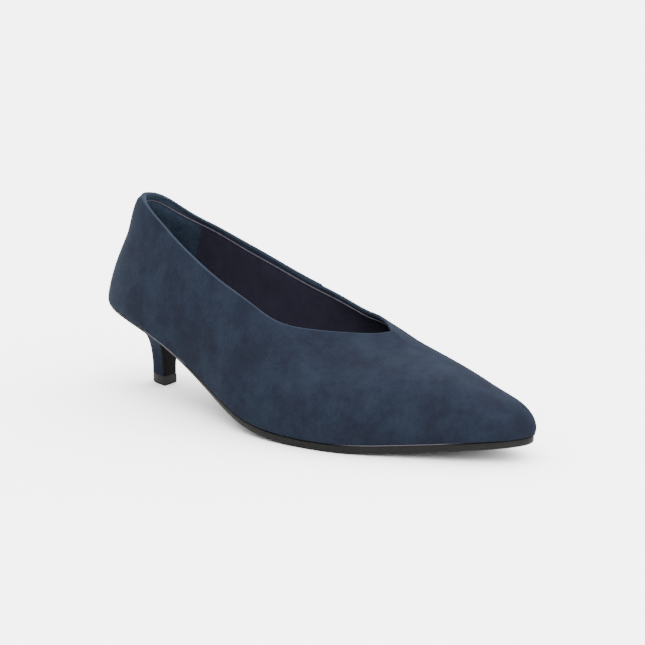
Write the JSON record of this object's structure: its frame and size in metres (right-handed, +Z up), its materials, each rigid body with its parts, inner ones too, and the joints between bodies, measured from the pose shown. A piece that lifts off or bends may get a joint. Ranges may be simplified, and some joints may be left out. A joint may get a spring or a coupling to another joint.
{
  "type": "kitten heel pump",
  "caption": "Navy suede slip-on pump with a pointed toe, V-shaped throat, low covered kitten heel and thin dark sole, for the right foot",
  "frame": {"origin": "centre of the bounding box in plan, on the floor under the sole and the heel's lift", "axes": "+X runs from the heel to the toe, +Y is the inner (medial) side of the foot, +Z is up"},
  "size_m": [0.2624, 0.0837, 0.0997],
  "materials": {
    "navy_suede": "napped suede",
    "navy_lining": "smooth lining",
    "dark_sole": "satin sole edge",
    "black_facing": "satin",
    "black_rubber": "matte"
  },
  "bodies": {
    "root": {"upper": "navy_suede", "insole": "navy_lining", "outsole": "dark_sole", "heel": "navy_suede", "heel_breast": "black_facing", "top_piece": "black_rubber"}
  },
  "joints": []
}
